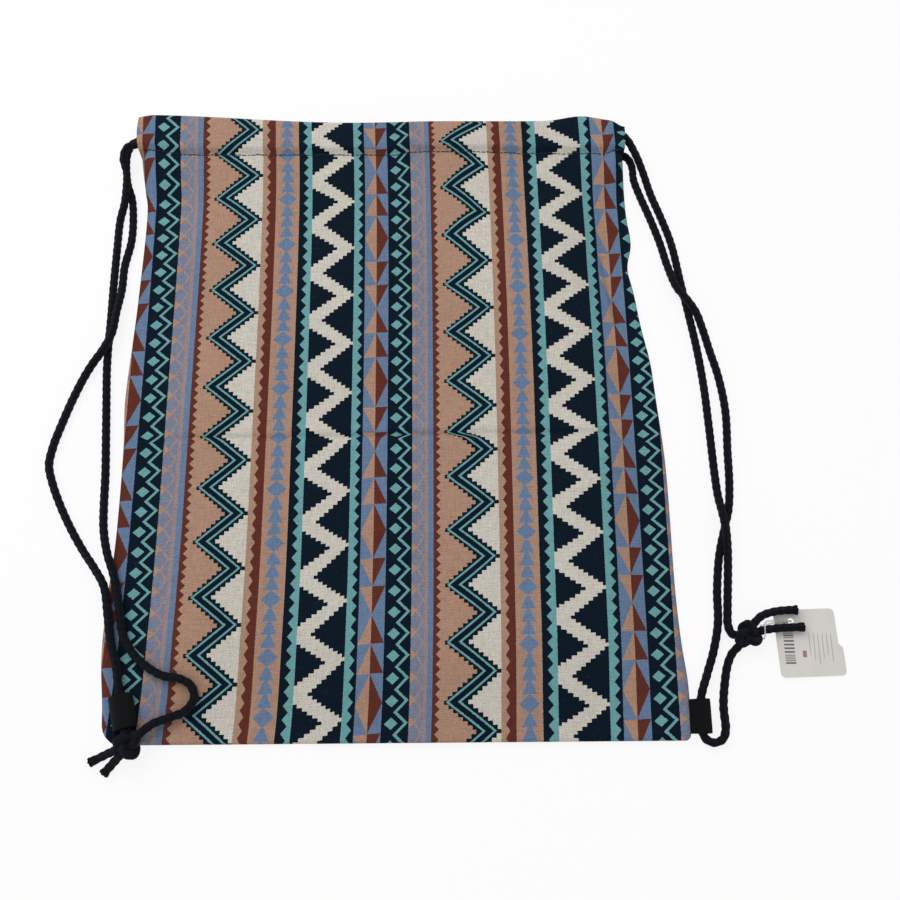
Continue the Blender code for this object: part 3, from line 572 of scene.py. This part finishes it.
def card_finish():
    """Coated white card with a block of thin bars, plain grey lines and a small red field,
    its white mottled a little grey at random."""
    n = Nodes("tag_card", 0.42)
    place = n.new("TexCoord").outputs["Object"]
    split = n.new("SeparateXYZ")
    n.put(place, split.inputs[0])
    x = n.sub(n.mul(split.outputs[0], 1000.0), 231.5)
    y = n.add(n.mul(split.outputs[1], 1000.0), 173.9)
    paint = n.mix(n.noise(place, 60.0, 3.0), rgb(212, 208, 203), rgb(226, 223, 219))
    bar = n.over(n.noise(n.stretched(place, (0.0, 900.0, 0.0)), 1.0, 0.0), 0.5)
    block = n.both(n.between(x, 3.5, 9.8), n.between(y, 8.0, 29.0))
    paint = n.mix(n.both(n.both(bar, block), 0.85), paint, rgb(60, 60, 64))
    column = n.between(n.part(x, 0.3, 2.7), 0.0, 0.2)
    low = n.add(11.0, n.mul(n.math("SINE", n.mul(x, 1.7)), 3.0))
    high = n.add(25.0, n.mul(n.math("SINE", n.mul(x, 2.3)), 3.0))
    lines = n.both(n.both(column, n.between(y, low, high)), n.between(x, 18.0, 33.5))
    paint = n.mix(n.mul(lines, 0.5), paint, rgb(110, 108, 110))
    spot = n.both(n.between(x, 14.5, 17.0), n.between(y, 12.3, 16.4))
    paint = n.mix(n.mul(spot, 0.8), paint, rgb(150, 62, 58))
    n.colour(paint)
    n.bump(n.noise(place, 900.0, 2.0), 0.08, 0.0001)
    n.shader.inputs["Coat Weight"].default_value = 0.25
    n.shader.inputs["Coat Roughness"].default_value = 0.2
    return n.material


def filament():
    """Clear plastic of the tag's loop, milky in places."""
    n = Nodes("clear_filament", 0.18)
    place = n.new("TexCoord").outputs["Object"]
    n.colour(n.mix(n.noise(place, 300.0, 2.0), rgb(222, 224, 226), rgb(250, 250, 250)))
    n.shader.inputs["Transmission Weight"].default_value = 0.75
    n.shader.inputs["IOR"].default_value = 1.45
    n.bump(n.noise(place, 700.0, 1.0), 0.1, 0.0001)
    return n.material


def braid_radius(gone, angle):
    """Half the diameter, higher by the product of two opposite waves that wind round the cord."""
    run = gone * 2 * pi / BRAID_LENGTH
    wave = np.sin(3 * angle + run) * np.sin(3 * angle - run)
    return CORD_DIAMETER / 2 + BRAID_RELIEF * wave


def cord(name, route, centre, finish):
    """Braided tube carried along the cord's route, each end run on a little into its knot."""
    ends = np.array([route[0], route[-1]])
    reach = ends + (np.array(centre) - ends) * 0.55
    path = smooth_path(np.vstack([reach[:1], route, reach[1:]]), CORD_STEP)
    grid, uv = around(path, CORD_SIDES, braid_radius)
    made = piece(name, [shell(grid, uv, closed=True, capped=True)], finish)
    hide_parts(name.replace("braided_", ""))
    return made, path


def knot_loop(centre, size, turn):
    """Closed overhand loop: a circle's sine and cosine plus twice those of double the angle, and
    a height that rises and falls three times round, turned about the upright."""
    t = np.linspace(0, 2 * pi, 121)
    flat = np.stack([np.sin(t) + 2 * np.sin(2 * t), np.cos(t) - 2 * np.cos(2 * t)], axis=1) * size / 3
    c, s = np.cos(turn), np.sin(turn)
    x = flat[:, 0] * c - flat[:, 1] * s
    y = flat[:, 0] * s + flat[:, 1] * c
    return np.stack([x, y, np.sin(3 * t) * 2.4], axis=1) + centre


def frayed(gone, angle, length):
    """The braid's radius, splayed and broken into eight tufts over the last few millimetres."""
    near_end = ease((gone - length + 5.0) / 5.0)
    tufts = 0.45 * np.sin(8 * angle + 1.3) + 0.25 * np.sin(5 * angle)
    return braid_radius(gone, angle) + near_end * (0.25 + tufts)


def knot(name, node, centre, ends, turn, finish):
    """Overhand knot of the doubled cord with its two cut ends."""
    loop = knot_loop(np.array(centre), 6.6, turn)
    grid, uv = around(loop, CORD_SIDES, braid_radius)
    shells = [shell(grid[:-1], uv[:-1], closed=True, capped=True)]
    closing = np.stack([grid[-2], grid[-1]])
    shells.append(shell(closing, uv[-2:], closed=True, capped=True))
    for end in ends:
        path = smooth_path(end, CORD_STEP)
        length = path_length(path)
        grid, uv = around(path, CORD_SIDES, lambda g, a: frayed(g, a, length))
        shells.append(shell(grid, uv, closed=True, capped=True))
    made = piece(name, shells, finish)
    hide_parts(node)
    return made


def tag_loop(finish):
    """Thin filament of one radius along the closed curve that ties the card to the cord."""
    path = smooth_path(TAG_LOOP + TAG_LOOP[:1], 0.5)
    grid, uv = around(path, 12, lambda g, a: LOOP_DIAMETER / 2 + 0 * g * a)
    made = piece("tag_filament", [shell(grid, uv, closed=True, capped=True)], finish)
    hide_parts("tag_loop")
    return made


def sway(table, y):
    """Outward stray of a side edge at y, read off the curve through the table."""
    curve = smooth_path([(share * 100, stray) for share, stray in table], 0.5)
    return np.interp((y / BAG_LENGTH + 0.5) * 100, curve[:, 0], curve[:, 1])


def corner_inset(y, radius):
    """How far a side edge is drawn in at y by the quarter circle of its bottom corner."""
    rise = np.clip(radius - (y - BOTTOM_Y), 0, radius)
    return radius - np.sqrt(radius ** 2 - rise ** 2)


def left_edge(y):
    """X of the left side edge: half the width out, with its stray, less the corner."""
    return CENTRE_X - BAG_WIDTH / 2 - sway(LEFT_SWAY, y) + corner_inset(y, LEFT_CORNER_RADIUS)


def right_edge(y):
    """X of the right side edge: half the width out, with its stray, less the corner."""
    return CENTRE_X + BAG_WIDTH / 2 + sway(RIGHT_SWAY, y) - corner_inset(y, RIGHT_CORNER_RADIUS)


def front_height(x, y):
    """Height of the front panel's middle: it rises from both seams and from the bottom fold by
    three eases, climbs to the stitch line, and carries a fold line, soft waves, puckers, a groove
    at the stitches and one pinched fold near the right edge."""
    left, right = left_edge(y), right_edge(y)
    puff = (ease((x - left - SEAM_ALLOWANCE) / PUFF_RUN_LEFT)
            * ease((right - x - SEAM_ALLOWANCE) / PUFF_RUN_RIGHT)
            * ease((y - BOTTOM_FOLD_Y) / PUFF_RUN_END))
    down = y - CREASE_Y - 1.5 * np.sin(x / 60)
    crease = 1.4 * np.exp(-(down / 2.0) ** 2) - 0.35 * np.exp(-((np.abs(down) - 5) / 3) ** 2)
    waves = (0.35 * np.sin(x / 31 + y / 75) * np.sin(y / 58 + 1.0)
             + 0.25 * np.sin(x / 17 - y / 46 + 2.0) * np.sin(x / 40))
    body = SEAM_Z + puff * (PUFF_Z - SEAM_Z - crease + waves)
    lift = ease((y - STITCH_Y + LIFT_RUN) / LIFT_RUN)
    pull = np.exp(-np.clip(STITCH_Y - y, 0, None) / 8) * (1 + 1.2 * ease((x - 90) / 40))
    pucker = pull * (0.22 * np.sin(x / 2.3) + 0.18 * np.sin(x / 3.9 + 1.0))
    pinch_line = 138.0 + 0.163 * (97 - y)
    pinch_fade = ease((y - 48) / 15) * ease((112 - y) / 12)
    pinch = 2.0 * pinch_fade * np.exp(-((x - pinch_line) / 1.6) ** 2)
    pucker = pucker - 0.35 * np.exp(-((y - STITCH_Y) / 0.9) ** 2)
    return body + (STITCH_Z - body) * lift + pucker * ease(puff * 3 + lift) - pinch


def seam_drop(x, y, z):
    """How far a height is taken down near the side seams: a quarter circle over the edge's round."""
    inward = np.minimum(x - left_edge(y), right_edge(y) - x)
    reach = EDGE_ROUND + 0.5 * np.clip(z - SEAM_Z, 0, None)
    share = 1 - np.clip(inward / reach, 0, 1)
    return (z - EDGE_Z) * (1 - np.sqrt(1 - share ** 2)) * (z > EDGE_Z)


def casing_rows(inner_z, outer_z, hem_z):
    """Rows (y, z, recess) of a casing: from its hem up the inner wall, over the fold, down again."""
    s = np.linspace(0.15, 1, 4)
    hem = np.stack([STITCH_Y + s * HEM_RUN, hem_z + (inner_z - hem_z) * ease(s), s * 0 + POCKET], axis=1)
    rise = np.linspace(STITCH_Y + HEM_RUN, TOP_FOLD_Y, 7)[1:-1]
    wall = np.stack([rise, rise * 0 + inner_z, rise * 0 + POCKET], axis=1)
    a = np.linspace(0, pi, 13)
    middle = (inner_z + outer_z) / 2
    side = 1 if outer_z > inner_z else -1
    fold = np.stack([TOP_FOLD_Y + TOP_FOLD * np.sin(a), middle - side * TOP_FOLD * np.cos(a),
                     POCKET * np.clip(np.cos(a), 0, 1)], axis=1)
    fall = np.stack([rise[::-1], rise * 0 + outer_z, rise * 0], axis=1)
    return np.vstack([hem, wall, fold, fall])


def sheet_rows():
    """The folded sheet from hem to hem as (y, z, recess, kind): kind 0 keeps its height, 1 is the
    front panel, whose height comes from its place, and 2 is drawn in at the side seams."""
    front = casing_rows(FRONT_INNER_Z, FRONT_Z, STITCH_Z - CANVAS - HEM_GAP)
    s = np.array([1, 0.8, 0.6, 0.4, 0.2])
    slope = np.stack([STITCH_Y + s * HEM_RUN, STITCH_Z + (FRONT_Z - STITCH_Z) * ease(s), s * 0], axis=1)
    down = np.linspace(STITCH_Y, BOTTOM_FOLD_Y, 132)
    fine = CREASE_Y + np.arange(-9, 9.1, 0.9)
    down = np.sort(np.concatenate([down[np.abs(down - CREASE_Y) > 10], fine]))[::-1]
    panel = np.stack([down, down * 0, down * 0], axis=1)
    a = np.linspace(0, pi, 10)[1:-1]
    turn = np.stack([BOTTOM_FOLD_Y - BOTTOM_FOLD * np.sin(a),
                     (BACK_Z + SEAM_Z) / 2 + BOTTOM_FOLD * np.cos(a), a * 0], axis=1)
    up = np.linspace(BOTTOM_FOLD_Y, STITCH_Y + HEM_RUN, 120)
    back = np.stack([up, up * 0 + BACK_Z, up * 0], axis=1)
    rear = casing_rows(BACK_INNER_Z, BACK_Z, BACK_Z + CANVAS + HEM_GAP)[::-1]
    parts = [(front, 0), (slope, 0), (panel, 1), (turn, 2), (back, 2), (rear, 0)]
    return np.vstack([np.hstack([rows, np.full((len(rows), 1), kind)]) for rows, kind in parts])


def casing_shift(x, y):
    """How far the cloth near the mouth strays along Y: the top edge stands higher at the left and
    near its right end, the stitch line climbs at both ends, and both fade out down the panel."""
    top = (-3.3 + 6.2 * ease((-x - 35) / 145) - 2.2 * ease((-x - 170) / 14) + 1.3 * ease((x + 30) / 60)
           + 4.0 * np.exp(-((x - 126) / 16) ** 2) - 4.5 * ease((x - 146) / 10))
    line = (-1.6 + 4.0 * ease((-x - 140) / 35) + 2.6 * ease((x + 4) / 16) - 1.4 * ease((x - 50) / 40)
            + 4.5 * ease((x - 138) / 22))
    high = ease((y - STITCH_Y) / (TOP_Y - STITCH_Y))
    return (line + (top - line) * high) * ease((y - STITCH_Y + 45) / 45)


def print_drift(x, y):
    """How far the printed pattern strays to the right and up on the cloth, in soft humps where it
    was printed or has been pulled askew. Below the fold line it sits higher by what the fold takes."""
    right = (1.6 * np.exp(-((x + 112) / 38) ** 2) + 0.6 * np.exp(-((x + 50) / 20) ** 2)
             - 2.0 * np.exp(-((x - 26) / 16) ** 2) - 0.4)
    taken = 1.7 + 3.2 * ease((x + 50) / 35) * (1 - ease((x - 80) / 30))
    up = taken * (1 - ease((y - CREASE_Y + 3) / 6))
    near_mouth = 2.0 * np.exp(-((x + 45) / 25) ** 2) + 5.0 * np.exp(-((x - 38) / 20) ** 2)
    up = up + near_mouth * ease((y - 95) / 45)
    return right, up


def bag(outside, inside):
    """One sheet of canvas: rows follow the folded sheet, columns run from seam to seam, closer
    together near them and at the pinched fold. The print's coordinates are millimetres on the
    flat cloth."""
    rows = sheet_rows()
    y, z, recess, kind = rows.T
    near = np.array([0, 0.5, 1.1, 1.8, 2.7, 3.8, 5.2, 7.0, 9.2]) / BAG_WIDTH
    pinch_start = 0.905
    wide = np.linspace(near[-1], pinch_start, 92)[1:]
    narrow = np.linspace(pinch_start, 1 - near[-1], 26)[1:-1]
    share = np.concatenate([near, wide, narrow, 1 - near[::-1]])
    left, right = left_edge(y) + recess, right_edge(y) - recess
    x = left[:, None] + (right - left)[:, None] * share[None]
    deep = np.broadcast_to(y[:, None], x.shape)
    height = np.where(kind[:, None] == 1, front_height(x, deep), z[:, None])
    height = height - np.where(kind[:, None] > 0, seam_drop(x, deep, height), 0)
    grid = np.stack([x, deep + casing_shift(x, deep), height], axis=-1)
    steps = np.hypot(np.diff(y), np.diff(z) * (kind[1:] != 1) * (kind[:-1] != 1))
    along = -np.concatenate([[0], np.cumsum(steps)])
    along += STITCH_Y - along[np.argmax(kind == 1)]
    part = deep / 200
    bend = np.where(part > 0, TOP_PULL, BOTTOM_PULL) * part ** 4
    first = PRINT_X - bend
    second = PRINT_X + REPEAT - np.where(part > 0, 3.0, 0.6) * part ** 2
    across = (x - first) * np.where(x < first, LEFT_STRETCH, REPEAT / (second - first))
    across = np.where(x > second, REPEAT + (x - second) * RIGHT_STRETCH, across)
    right_drift, up_drift = print_drift(x, deep)
    uv = np.stack([across - right_drift, along[:, None] - CLIMB * (x + 30.5) - up_drift], axis=-1) * MM
    made = piece("printed_bag", [shell(grid, uv)], outside, inside)
    wall = made.modifiers.new("canvas", "SOLIDIFY")
    wall.thickness = CANVAS * MM
    wall.offset = 0
    wall.material_offset = 1
    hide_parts("canvas_body")
    length = float(steps.sum())
    return made, length


def stitch_row(name, y, height, into, finish):
    """Dark dashes along a stitch line: each is a thin bar whose ends bend into the cloth."""
    pitch, run, thick = 3.1, 2.9, 0.33
    starts = np.arange(float(left_edge(np.array(y))) + 3, float(right_edge(np.array(y))) - 3, pitch)
    shells = []
    for start in starts:
        t = np.linspace(0, 1, 6)
        x = start + t * run
        sink = into * 0.45 * np.abs(2 * t - 1) ** 3
        place = y + 0.12 * np.sin(start) + casing_shift(x, np.full(len(x), y))
        line = np.stack([x, place, height(x) + sink], axis=1)
        grid, uv = around(line, 6, lambda g, a: thick * (1 + 0 * g * a))
        shells.append(shell(grid, uv, closed=True, capped=True))
    made = piece(name, shells, finish)
    return made


def ribbon(name, node, path, place, turn, finish):
    """Webbing swept along a path in its own upright plane, its edges a little rounded."""
    path = smooth_path(path, 0.5)
    way = unit(np.gradient(path, axis=0))
    out = np.stack([-way[:, 1], way[:, 0]], axis=1)
    w = np.linspace(-1, 1, 25)
    thin = TAB_WEB / 2 * np.sqrt(np.clip(1 - 0.55 * w ** 8, 0, 1))
    loop = np.concatenate([w, w[::-1]])
    half = np.concatenate([thin, -thin])
    x = path[:, :1] + out[:, :1] * half[None]
    z = path[:, 1:] + out[:, 1:] * half[None]
    y = np.broadcast_to(loop[None] * TAB_WIDTH / 2, x.shape)
    c, s = np.cos(turn), np.sin(turn)
    grid = np.stack([place[0] + x * c - y * s, place[1] + x * s + y * c, place[2] + z], axis=-1)
    gone = np.concatenate([[0], np.cumsum(np.linalg.norm(np.diff(path, axis=0), axis=1))])
    u = np.concatenate([loop, loop[:1]]) * TAB_WIDTH / 2 * MM
    uv = np.stack(np.broadcast_arrays(u[None], gone[:, None] * MM), axis=-1)
    made = piece(name, [shell(grid[:, ::-1], uv[:, ::-1], closed=True, capped=True)], finish)
    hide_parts(node)
    return made


def tabs(finish):
    """Hairpins of webbing: the right one flat beside the bag, the left one up on the front."""
    y = BOTTOM_Y + 14
    place = (float(right_edge(np.array(y))), y, 0)
    right = [(-8, 1.65), (-3, 1.65), (0, 1.5), (2.4, 0.7), (5, 0.56), (7.9, 0.56), (10.4, 1.6), (11.45, 4.1),
             (10.4, 6.6), (7.9, 7.64), (5.4, 7.2), (3, 5.4), (0, 3.1), (-3, 2.76), (-8, 2.76)]
    ribbon("right_webbing_tab", "right_tab", right, place, 0.0, finish)
    low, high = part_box("left_tab")
    y = BOTTOM_Y + 17
    x = float(left_edge(np.array(y))) + 6.2
    lift = high[2] * 1000 - TAB_HEIGHT
    deep = low[2] * 1000 - lift
    left = [(1.7, deep), (1.7, deep / 2), (1.9, -0.6), (3.4, 0.45), (6, 0.56), (10.9, 0.56), (13.4, 1.6),
            (14.45, 4.1), (13.4, 6.6), (10.9, 7.64), (6, 7.5), (2.6, 5.6), (0.6, 2.4), (0.55, deep / 2),
            (0.55, deep)]
    ribbon("left_webbing_tab", "left_tab", left, (x, y, lift), radians(13), finish)


def floor():
    """White floor that keeps a faint shadow and looks white to the camera and to gloss."""
    n = Nodes("floor_white", 0.9)
    n.shader.inputs["Base Color"].default_value = rgb(250, 250, 250)
    path = n.new("LightPath")
    seen = n.math("MAXIMUM", path.outputs["Is Camera Ray"], path.outputs["Is Glossy Ray"])
    seen = n.math("MAXIMUM", seen, path.outputs["Is Transmission Ray"])
    glow = n.new("Emission")
    glow.inputs["Strength"].default_value = 1.0
    blend = n.new("MixShader")
    n.put(n.mul(seen, 0.86), blend.inputs[0])
    n.put(n.shader.outputs[0], blend.inputs[1])
    n.put(glow.outputs[0], blend.inputs[2])
    n.put(blend.outputs[0], n.tree.nodes["Material Output"].inputs[0])
    mesh = bpy.data.meshes.new("floor")
    reach = 30.0
    mesh.from_pydata([(-reach, -reach, -0.0004), (reach, -reach, -0.0004), (reach, reach, -0.0004),
                      (-reach, reach, -0.0004)], [], [(0, 1, 2, 3)])
    mesh.materials.append(n.material)
    made = bpy.data.objects.new("floor", mesh)
    bpy.context.scene.collection.objects.link(made)


def lights():
    """Even light from all round, and a wide soft lamp above and to the upper left."""
    world = bpy.data.worlds.new("studio")
    world.use_nodes = True
    bpy.context.scene.world = world
    back = world.node_tree.nodes["Background"]
    back.inputs["Color"].default_value = (1, 1, 1, 1)
    back.inputs["Strength"].default_value = 0.66
    data = bpy.data.lights.new("soft_lamp", "AREA")
    data.size = 0.9
    data.energy = 8.5
    lamp = bpy.data.objects.new("soft_lamp", data)
    lamp.location = (-0.55, 0.65, 1.15)
    lamp.rotation_euler = (radians(-30), radians(-24), 0)
    bpy.context.scene.collection.objects.link(lamp)


def main():
    """Every piece of the bag, then the floor and the lights."""
    camera()
    navy = braid("navy_braid")
    left_cord, left_path = cord("braided_left_cord", LEFT_ROUTE, LEFT_KNOT, navy)
    right_cord, right_path = cord("braided_right_cord", RIGHT_ROUTE, RIGHT_KNOT, navy)
    left_knot = knot("left_cord_knot", "left_knot", LEFT_KNOT, LEFT_ENDS, 0.4, navy)
    right_knot = knot("right_cord_knot", "right_knot", RIGHT_KNOT, RIGHT_ENDS, 1.1, navy)
    loop = tag_loop(filament())
    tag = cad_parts["hang_tag"]
    tag.data.materials.clear()
    tag.data.materials.append(card_finish())
    cloth, length = bag(canvas("printed_canvas_front", False), canvas("printed_canvas_wrong_side", True))
    thread = thread_finish()
    line_y = STITCH_Y + 0.2
    front = stitch_row("front_stitches", line_y,
                       lambda x: front_height(x, np.full(len(x), STITCH_Y)) + CANVAS / 2 + 0.25, -1, thread)
    rear = stitch_row("back_stitches", line_y, lambda x: 0.2 + 0 * x, 1, thread)
    tabs(webbing("black_webbing_tape"))
    floor()
    lights()
    bpy.context.scene.view_settings.view_transform = "Standard"


main()
